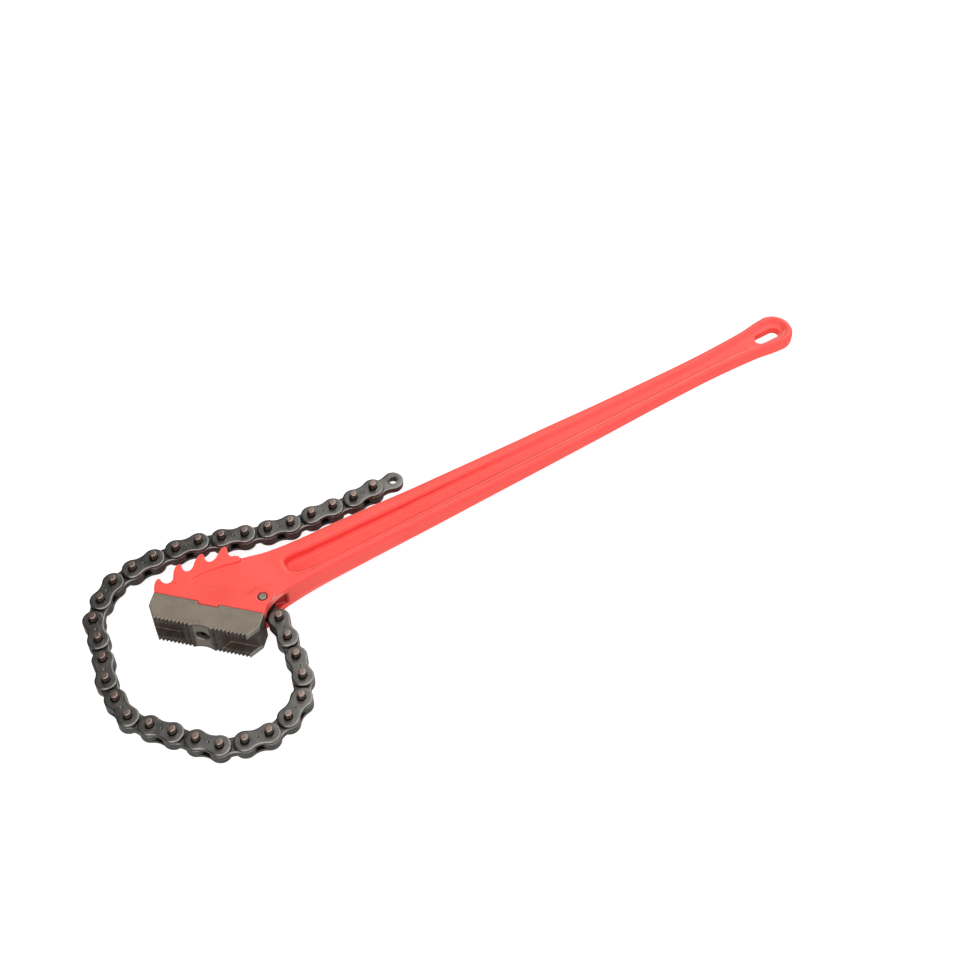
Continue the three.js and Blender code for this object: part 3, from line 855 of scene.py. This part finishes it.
# ------------------------------------------------------------------ materials
def paint_material():
    """Red paint on a hammered forging, with painted shade, highlights and sheen set by where faces
    lie and turn.
    """
    n = MaterialNodes("red_paint_on_forging")
    cloud = n.noise(scale=28, detail=3.0, roughness=0.5)
    fine = n.noise(scale=420, detail=2.0, roughness=0.6)
    colour = n.mix(n.ramp(cloud, over=MIDDLE),
                   low=(0.84, 0.068, 0.050, 1), high=(0.92, 0.094, 0.070, 1))
    colour = n.tint(colour, toward=(0.80, 0.066, 0.048, 1),
                    where=n.ramp(fine, over=(0.35, 0.75), to=(0.0, 0.35)))
    # sharp edges are lightened by 0.30 everywhere as a painted highlight, and by 0.5 more in nicks
    # where the paint is worn
    edge = n.fade(n.pointiness(), off=0.535, on=0.61)
    nicks = n.fade(n.noise(scale=150, detail=4.0, roughness=0.7), off=0.60, on=0.68)
    edge_wear_and_highlight = n.times(edge, n.plus(n.times(nicks, 0.5), 0.30))
    colour = n.tint(colour, toward=(0.92, 0.20, 0.16, 1), where=edge_wear_and_highlight)

    # front: faces turned to -Y and a little to +X; level: 1 for faces square to Z
    normal_x, normal_y, normal_z = n.split(n.normal())
    toward_front = n.minus(n.times(normal_x, 0.5), n.times(normal_y, 0.85))
    front = n.fade(toward_front, off=0.66, on=0.84)
    level = n.absolute(normal_z)
    sheen = n.times(front, n.fade(level, off=0.34, on=0.16))
    x, _, z = n.split(n.coord)
    # painted shade: upright faces turned to the front are darker
    upright_shade = n.times(front, n.fade(level, off=0.40, on=0.20))
    colour = n.tint(colour, toward=(0.78, 0.062, 0.046, 1), where=upright_shade, amount=0.85)
    # a painted sheen, a pale reflection of the bright floor, low on the grip and high on the head by
    # the pivot
    low = n.times(n.fade(z, off=0.0125, on=0.0035), n.ramp(x, over=(0.018, 0.045)))
    lug_x = (n.ramp(x, over=(0.002, 0.006)), n.ramp(x, over=(0.018, 0.014)))
    lug = n.times(n.fade(z, off=0.0230, on=0.0265), n.times(*lug_x))
    pale = n.times(sheen, n.plus(low, lug))
    colour = n.tint(colour, toward=(0.80, 0.27, 0.235, 1), where=pale,
                    amount=n.ramp(cloud, over=MIDDLE, to=(0.6, 0.9)))
    # painted shade and light: sloping faces are deeper towards -Y and paler towards +Y
    sloping = n.between(level, rise=(0.26, 0.36), fall=(0.975, 0.86))
    sloping = n.times(sloping, n.fade(normal_y, off=-0.14, on=-0.40))
    colour = n.tint(colour, toward=(0.78, 0.032, 0.025, 1), where=sloping, amount=0.8)
    away = n.between(level, rise=(0.10, 0.25), fall=(0.90, 0.75))
    away = n.times(away, n.fade(normal_y, off=0.30, on=0.55))
    colour = n.tint(colour, toward=(0.98, 0.33, 0.29, 1), where=away, amount=0.9)
    # painted shade: hollows see mostly red paint, and turn deeper
    deep = n.fade(n.openness(samples=8, distance=0.011), off=0.97, on=0.62)
    colour = n.tint(colour, toward=(0.72, 0.026, 0.020, 1), where=deep, amount=0.75)
    # painted reflection: rounded edges pale where they turn away from the eye
    rim = n.new("ShaderNodeLayerWeight")
    rim.inputs["Blend"].default_value = 0.5
    turn = n.between(rim.outputs["Facing"], rise=(0.62, 0.84), fall=(0.97, 0.88))
    colour = n.tint(colour, toward=(0.93, 0.36, 0.33, 1), where=turn, amount=0.3)
    # the pocket for the first links lies in shade
    x, y, z = n.split(n.coord)
    inside = n.times(n.fade(n.absolute(n.minus(z, MID * MM)), off=0.0071, on=0.0062),
                     n.fade(x, off=0.0225, on=0.0205))
    pocket = n.times(n.ramp(x, over=(-0.016, -0.013)), n.ramp(y, over=(0.011, 0.009)))
    inside = n.times(inside, pocket)
    colour = n.tint(colour, toward=(0.30, 0.014, 0.011, 1), where=inside, amount=0.85)
    # painted shade: the creases are a little darker
    crease_shade = n.ramp(n.pointiness(), over=(0.47, 0.40), to=(0.0, 0.25), smooth=True)
    colour = n.tint(colour, toward=(0.68, 0.022, 0.016, 1), where=crease_shade)

    rough = n.plus(n.ramp(cloud, over=MIDDLE, to=(0.36, 0.44)),
                   n.ramp(fine, over=MIDDLE, to=(-0.04, 0.05)))
    hammered = n.bump(n.noise(scale=60, detail=3.0, roughness=0.5), strength=0.5, distance=0.0007)
    peel = n.bump(n.noise(scale=700, detail=2.0, roughness=0.5),
                  strength=0.25, distance=0.00008, normal=hammered)
    return n.finish(Base_Color=colour, Roughness=rough, Normal=peel, Specular_IOR_Level=0.45)


def jaw_material():
    """Ground sides, dark teeth and channels, and lighter bevels at the ends."""
    n = MaterialNodes("jaw_steel")
    x, _, z = n.split(n.coord)
    height = n.absolute(z)
    side = n.fade(height, off=0.01588, on=0.01622)
    normal_x = n.split(n.normal())[0]
    streak = n.noise(scale=1.0, detail=4.0, roughness=0.6, vector=n.scaled(45, 260, 60))
    blotch = n.noise(scale=110, detail=5.0, roughness=0.65)
    grain = n.noise(scale=700, detail=3.0, roughness=0.7)
    speck = n.fade(n.noise(scale=620, detail=2.0, roughness=0.7), off=0.68, on=0.76)

    patches = n.noise(scale=75, detail=4.0, roughness=0.6)
    ground = n.mix(n.ramp(patches, over=(0.32, 0.68)),
                   low=srgb(112, 101, 89), high=srgb(128, 117, 103))
    ground = n.tint(ground, toward=srgb(120, 110, 97),
                    where=n.ramp(streak, over=(0.35, 0.7), to=(0.0, 0.35)))
    ground = n.tint(ground, toward=srgb(102, 96, 88),
                    where=n.ramp(blotch, over=(0.45, 0.72), to=(0.0, 0.5)))
    ground = n.tint(ground, toward=srgb(92, 84, 74),
                    where=n.ramp(grain, over=(0.5, 0.8), to=(0.0, 0.4)))
    ground = n.tint(ground, toward=srgb(172, 166, 158), where=speck, amount=0.7)

    dark = n.mix(n.ramp(n.noise(scale=160, detail=4.0, roughness=0.6), over=MIDDLE),
                 low=srgb(62, 52, 46), high=srgb(92, 81, 73))
    # the land between the channels is rubbed lighter
    middle = JAW_WIDTH / 2 * MM
    land = n.times(n.fade(n.absolute(n.minus(x, middle)), off=0.0068, on=0.0060),
                   n.fade(height, off=0.0150, on=0.0140))
    dark = n.tint(dark, toward=srgb(128, 121, 113), where=land, amount=0.8)
    edge = n.fade(n.pointiness(), off=0.54, on=0.64)
    dark = n.tint(dark, toward=srgb(150, 140, 130), where=edge, amount=0.8)
    # bevels: slanted faces at the ends of the toothed walls
    end = n.ramp(n.absolute(n.minus(x, middle)), over=(0.0375, 0.0379))
    slanted = n.between(n.absolute(normal_x), rise=(0.25, 0.5), fall=(0.97, 0.92))
    rows = n.fade(height, off=0.0104, on=0.0110)
    bevel = n.times(n.times(end, slanted), rows)
    dark = n.tint(dark, toward=srgb(150, 144, 136), where=bevel, amount=0.85)

    colour = n.mix(side, low=dark, high=ground)
    metal = n.ramp(side, over=(0, 1), to=(0.55, 0.35))
    rough = n.plus(n.ramp(side, over=(0, 1), to=(0.45, 0.5)),
                   n.ramp(blotch, over=MIDDLE, to=(-0.06, 0.08)))
    streaks = n.bump(streak, strength=0.2, distance=0.00005)
    pits = n.bump(n.noise(scale=420, detail=4.0, roughness=0.65),
                  strength=0.3, distance=0.00010, normal=streaks)
    return n.finish(Base_Color=colour, Metallic=metal, Roughness=rough, Normal=pits)


def chain_material(name, low, high, brown=0.0):
    """Plate steel between two tones; brown is how far the pins turn to their own colour."""
    n = MaterialNodes(name)
    # shifted by the link's place, so that links sharing a mesh differ
    shift = n.new("ShaderNodeVectorMath", operation="ADD")
    n.feed(shift.inputs[0], n.coord)
    n.feed(shift.inputs[1], n.new("ShaderNodeObjectInfo").outputs["Location"])
    place = shift.outputs["Vector"]
    patches = n.noise(scale=120, detail=4.0, roughness=0.6, vector=place)
    fine = n.noise(scale=900, detail=3.0, roughness=0.6, vector=place)
    colour = n.mix(n.ramp(patches, over=(0.32, 0.68)), low, high)
    colour = n.tint(colour, toward=srgb(104, 100, 96),
                    where=n.ramp(fine, over=(0.55, 0.8), to=(0.0, 0.3)))
    edge = n.fade(n.pointiness(), off=0.55, on=0.66)
    colour = n.tint(colour, toward=srgb(128, 124, 120), where=edge, amount=0.35)
    # the pins are browner than the plates, their flat ends the lightest
    height = n.absolute(n.split(n.coord)[2])
    pin = n.fade(height, off=0.00654, on=0.00662)
    shank = n.mix(n.ramp(patches, over=MIDDLE), low=srgb(74, 60, 54), high=srgb(100, 84, 76))
    end = n.mix(n.ramp(fine, over=MIDDLE), low=srgb(118, 100, 92), high=srgb(140, 122, 114))
    turned = n.mix(n.fade(height, off=0.01238, on=0.01252), low=shank, high=end)
    colour = n.tint(colour, toward=turned, where=pin, amount=brown)
    # painted shade: gaps between the links are darker
    gap = n.fade(n.openness(samples=6, distance=0.006), off=0.85, on=0.35)
    colour = n.tint(colour, toward=srgb(26, 22, 20), where=gap, amount=0.75)
    metal = n.ramp(patches, over=MIDDLE, to=(0.82, 0.94))
    rough = n.plus(n.ramp(patches, over=MIDDLE, to=(0.24, 0.32)),
                   n.ramp(fine, over=MIDDLE, to=(-0.02, 0.03)))
    waves = n.bump(n.noise(scale=180, detail=3.0, roughness=0.5, vector=place),
                   strength=0.25, distance=0.00005)
    bumps = n.bump(fine, strength=0.08, distance=0.00001, normal=waves)
    return n.finish(Base_Color=colour, Metallic=metal, Roughness=rough, Normal=bumps)


def dark_steel(name, low, high, metallic=0.7):
    n = MaterialNodes(name)
    patches = n.noise(scale=300, detail=4.0, roughness=0.6)
    marks = n.noise(scale=1.0, detail=3.0, roughness=0.6, vector=n.scaled(1400, 1400, 200))
    colour = n.mix(n.ramp(patches, over=MIDDLE), low, high)
    edge = n.fade(n.pointiness(), off=0.54, on=0.64)
    colour = n.tint(colour, toward=srgb(150, 142, 132), where=edge, amount=0.5)
    rough = n.ramp(patches, over=MIDDLE, to=(0.34, 0.5))
    bumps = n.bump(marks, strength=0.25, distance=0.00004)
    return n.finish(Base_Color=colour, Metallic=metallic, Roughness=rough, Normal=bumps)


def floor_material():
    """Pale paper that also glows, so that shadows stay faint; metal mirrors it without the glow."""
    n = MaterialNodes("pale_floor")
    pale = n.mix(n.noise(scale=3, detail=2.0, roughness=0.5),
                 low=(0.54, 0.54, 0.54, 1), high=(0.57, 0.57, 0.57, 1))
    glossy = n.new("ShaderNodeLightPath").outputs["Is Glossy Ray"]
    colour = n.mix(glossy, low=pale, high=(0.55, 0.55, 0.55, 1))
    glow = n.ramp(glossy, over=(0, 1), to=(0.78, 0.0))
    return n.finish(Base_Color=colour, Roughness=0.9, Emission_Color=(1, 1, 1, 1),
                    Emission_Strength=glow, Specular_IOR_Level=0.1)


# ------------------------------------------------------------------ assembly
PAINT = paint_material()
JAW = jaw_material()
SCREW = dark_steel("screw_black_oxide", low=srgb(26, 24, 23), high=srgb(52, 48, 45))
PIVOT = dark_steel("pivot_pin_steel", low=srgb(104, 98, 88), high=srgb(140, 132, 120),
                   metallic=0.6)
OUTER = chain_material("chain_outer_steel", low=srgb(84, 82, 79), high=srgb(106, 104, 100),
                       brown=0.95)
INNER = chain_material("chain_inner_steel", low=srgb(88, 86, 83), high=srgb(108, 106, 102))


def register(ob, body, node):
    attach(ob, body)
    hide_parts(node)


def dress_tool(ob, node, material):
    ob.data.materials.append(material)
    register(ob, "tool", node)


def build_chain():
    """A link between each pair of pins; links of one kind and pitch share a mesh."""
    kinds = {"outer": (outer_link, OUTER), "inner": (inner_link, INNER)}
    shared = {}
    for body, start, end in zip(CHAIN, PINS, PINS[1:]):
        node = bodies[body][0]
        kind = "outer" if node.startswith("outer") else "inner"
        pitch = round(float(np.linalg.norm(end - start)), 2)
        matrix = Matrix.Translation((start[0] * MM, start[1] * MM, MID * MM))
        matrix @= Matrix.Rotation(math.atan2(end[1] - start[1], end[0] - start[0]), 4, "Z")
        if (kind, pitch) not in shared:
            make, material = kinds[kind]
            ob = object_from_faces(node + "_steel", make(pitch), matrix)
            shade(ob.data, angle=42)
            ob.data.materials.append(material)
            shared[kind, pitch] = ob.data
        else:
            ob = bpy.data.objects.new(node + "_steel", shared[kind, pitch])
            bpy.context.scene.collection.objects.link(ob)
            ob.matrix_world = matrix
        weighted = ob.modifiers.new("weighted", "WEIGHTED_NORMAL")
        weighted.keep_sharp = True
        register(ob, body, node)


dress_tool(build_handle(), "handle", PAINT)
dress_tool(build_jaw(), "jaw", JAW)
screw_matrix = frame_matrix(ALONG_SEAT, (0, 0, 1), OUT_OF_SEAT, (*from_jaw(SCREW_S, 0), MID))
screw = object_from_faces("socket_screw", screw_part(), screw_matrix, angle=35)
dress_tool(screw, "jaw_screw", SCREW)
pivot_matrix = Matrix.Translation((0, 0, MID * MM))
pivot = object_from_faces("chain_pivot_pin", pivot_part(), pivot_matrix, angle=40)
dress_tool(pivot, "pivot_pin", PIVOT)
build_chain()


# ------------------------------------------------------------------ floor, light, camera (metres)
def build_floor(reach=8, gap=0.0002):
    """A square floor just under the wrench."""
    z = CAD_LO.z - gap
    corners = [(-reach, -reach, z), (reach, -reach, z), (reach, reach, z), (-reach, reach, z)]
    mesh = bpy.data.meshes.new("floor")
    mesh.from_pydata(corners, [], [(0, 1, 2, 3)])
    floor = bpy.data.objects.new("floor", mesh)
    bpy.context.scene.collection.objects.link(floor)
    mesh.materials.append(floor_material())


def build_world():
    """White to the camera, a little dimmer as light, and a graded soft box in mirrors."""
    camera_strength, light_strength = 1.0, 0.92
    # mirrored strength: bright overhead and towards +X and -Y, near dark towards -X and +Y
    steepness, overhead, darkest, brightest = 20.0, 7.1, 0.10, 3.2
    world = bpy.data.worlds.new("studio")
    bpy.context.scene.world = world
    world.use_nodes = True
    n = Nodes(world.node_tree)
    background = n.tree.nodes["Background"]
    background.inputs["Color"].default_value = (1, 1, 1, 1)
    x, y, _ = n.split(n.new("ShaderNodeTexCoord").outputs["Generated"])
    path = n.new("ShaderNodeLightPath").outputs
    slope = n.plus(n.times(x, steepness), n.times(y, -steepness))
    mirror = n.math("MAXIMUM", n.plus(slope, overhead), darkest)
    mirror = n.math("MINIMUM", mirror, brightest)
    strength = n.mix(path["Is Glossy Ray"], light_strength, mirror, "FLOAT")
    strength = n.mix(path["Is Camera Ray"], strength, camera_strength, "FLOAT")
    n.feed(background.inputs["Strength"], strength)


def add_area(name, location, target, size, watts):
    """A round area light aimed at a target."""
    light = bpy.data.lights.new(name, "AREA")
    light.shape, light.size, light.energy = "DISK", size, watts
    ob = bpy.data.objects.new(name, light)
    ob.location = location
    aim = Vector(target) - Vector(location)
    ob.rotation_euler = aim.to_track_quat("-Z", "Y").to_euler()
    bpy.context.scene.collection.objects.link(ob)


def add_camera():
    camera = bpy.data.objects.new("camera", bpy.data.cameras.new("camera"))
    bpy.context.scene.collection.objects.link(camera)
    camera.location = (-0.2365, -0.7005, 1.1245)
    camera.rotation_euler = (math.radians(37.4), 0, math.radians(-32.1))
    camera.data.sensor_width = 36
    camera.data.lens = 61.9
    camera.data.clip_start, camera.data.clip_end = 0.01, 50
    bpy.context.scene.camera = camera


build_floor()
build_world()
add_area("key", location=(-0.9, -0.5, 1.9), target=(0.05, 0, 0), size=1.1, watts=9)
add_area("fill", location=(1.4, -1.2, 1.5), target=(0.1, 0, 0), size=1.2, watts=4)
add_camera()
bpy.context.scene.view_settings.view_transform = "Standard"
